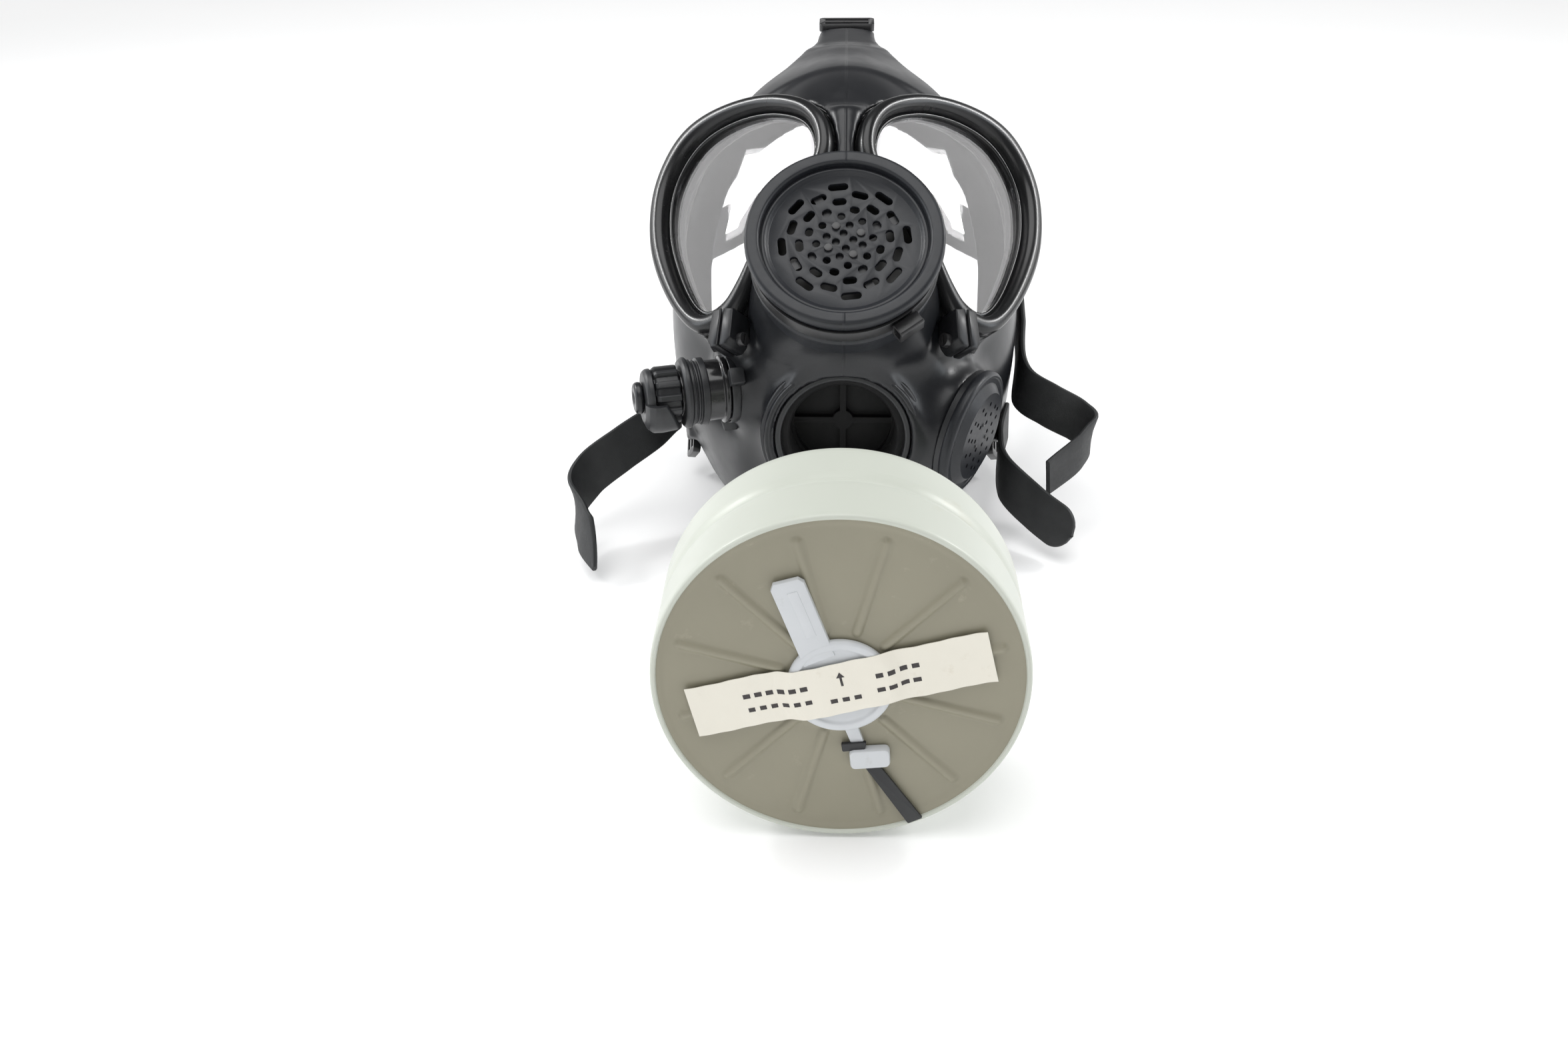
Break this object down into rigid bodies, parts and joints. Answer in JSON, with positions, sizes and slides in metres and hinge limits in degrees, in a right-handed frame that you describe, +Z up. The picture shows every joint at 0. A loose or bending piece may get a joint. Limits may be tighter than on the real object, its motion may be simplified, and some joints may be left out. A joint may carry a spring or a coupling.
{
  "type": "full face respirator",
  "caption": "Rubber full face respirator with two eyepieces, speech diaphragm, drinking device, exhale valve and a threaded filter canister lying in front of its open port.",
  "frame": {"origin": "centre of the filter port's mouth, 54 mm above the table", "axes": "+Z up, -Y out of the filter port towards the canister, +X towards the exhale valve, on the side that is image-right from the front"},
  "size_m": [0.2122, 0.3785, 0.175],
  "materials": {
    "mask_rubber": "satin moulded black rubber",
    "inner_rubber": "soft matte rubber",
    "valve_rubber": "thin smooth rubber",
    "strap_rubber": "matte, fine textured",
    "lens_clear": "clear, polished",
    "rim_black": "polished black",
    "plastic_black": "fine moulded black plastic",
    "steel": "plain",
    "steel_black": "black coated steel",
    "film": "thin film",
    "can_paint": "light grey-green paint, satin",
    "base_paint": "khaki grey paint, satin",
    "plug_white": "semi-gloss white plastic",
    "paper": "cream paper",
    "carbon": "granular",
    "filter_media": "fibrous"
  },
  "bodies": {
    "mask": {"facepiece": "mask_rubber", "nose_cup": "inner_rubber", "cup_valve_seats": "plastic_black", "lens_right": "lens_clear", "lens_left": "lens_clear", "rim_right": "rim_black", "rim_left": "rim_black", "rim_clamp_right": "steel_black", "rim_clamp_left": "steel_black", "rim_screws": "steel_black", "rim_nuts": "steel_black", "diaphragm_housing": "plastic_black", "diaphragm_plate": "plastic_black", "diaphragm_spider": "plastic_black", "diaphragm_rivets": "steel", "speech_membrane": "film", "membrane_ring": "plastic_black", "diaphragm_band": "steel_black", "band_fastener": "steel_black", "port_retaining_ring": "plastic_black", "filter_connector": "plastic_black", "connector_gasket": "valve_rubber", "inlet_spider": "plastic_black", "exhale_seat": "plastic_black", "exhale_cover": "plastic_black", "drink_socket": "rim_black", "drink_bands": "steel_black", "drink_step_ring": "plastic_black", "drink_flange": "plastic_black", "tail_left": "strap_rubber", "tail_right_upper": "strap_rubber", "tail_right_lower": "strap_rubber", "side_buckles": "steel_black", "buckle_forehead": "steel_black", "head_pad": "strap_rubber", "strap_forehead": "strap_rubber", "strap_temple_right": "strap_rubber", "strap_temple_left": "strap_rubber", "strap_cheek_right": "strap_rubber", "strap_cheek_left": "strap_rubber"},
    "inlet_valve": {"inlet_flap": "valve_rubber"},
    "exhale_valve": {"exhale_flap": "valve_rubber"},
    "cup_valve_left": {"cup_flap_left": "valve_rubber"},
    "cup_valve_right": {"cup_flap_right": "valve_rubber"},
    "drink_valve": {"drink_drum": "plastic_black", "drink_cap": "plastic_black", "drink_tube": "plastic_black"},
    "drink_stopper": {"drink_plug": "valve_rubber"},
    "canister": {"canister_can": "can_paint", "canister_base": "base_paint", "canister_neck": "can_paint", "canister_gasket": "valve_rubber", "particulate_filter": "filter_media", "bed_screens": "steel", "carbon_bed": "carbon", "strip_lug": "plug_white", "retaining_strip": "plastic_black"},
    "canister_stopper": {"canister_plug": "plug_white", "seal_strip": "paper"}
  },
  "joints": [
    {"name": "canister_draw", "type": "slide", "parent": "mask", "child": "canister", "axis": [0, 1, 0], "range_m": [0, 0.091]},
    {"name": "canister_stopper_pull", "type": "slide", "parent": "canister", "child": "canister_stopper", "axis": [0, -1, 0], "range_m": [0, 0.012]},
    {"name": "inlet_flap_lift", "type": "slide", "parent": "mask", "child": "inlet_valve", "axis": [0, 1, 0], "range_m": [0, 0.003], "stiffness_N_per_m": 15},
    {"name": "exhale_flap_lift", "type": "slide", "parent": "mask", "child": "exhale_valve", "axis": [0.8733, -0.4648, -0.146], "range_m": [0, 0.0018], "stiffness_N_per_m": 15},
    {"name": "cup_flap_left_lift", "type": "slide", "parent": "mask", "child": "cup_valve_left", "axis": [0, 0.766, -0.6428], "range_m": [0, 0.0012], "stiffness_N_per_m": 10},
    {"name": "cup_flap_right_lift", "type": "slide", "parent": "mask", "child": "cup_valve_right", "axis": [0, 0.766, -0.6428], "range_m": [0, 0.0012], "stiffness_N_per_m": 10},
    {"name": "drink_lever_turn", "type": "hinge", "parent": "mask", "child": "drink_valve", "pos_m": [-0.034, 0.026, 0.0112], "axis": [-0.9563, -0.2924, 0], "range_deg": [0, 30]},
    {"name": "drink_stopper_pull", "type": "slide", "parent": "drink_valve", "child": "drink_stopper", "axis": [-0.9563, -0.2924, 0], "range_m": [0, 0.008]}
  ]
}
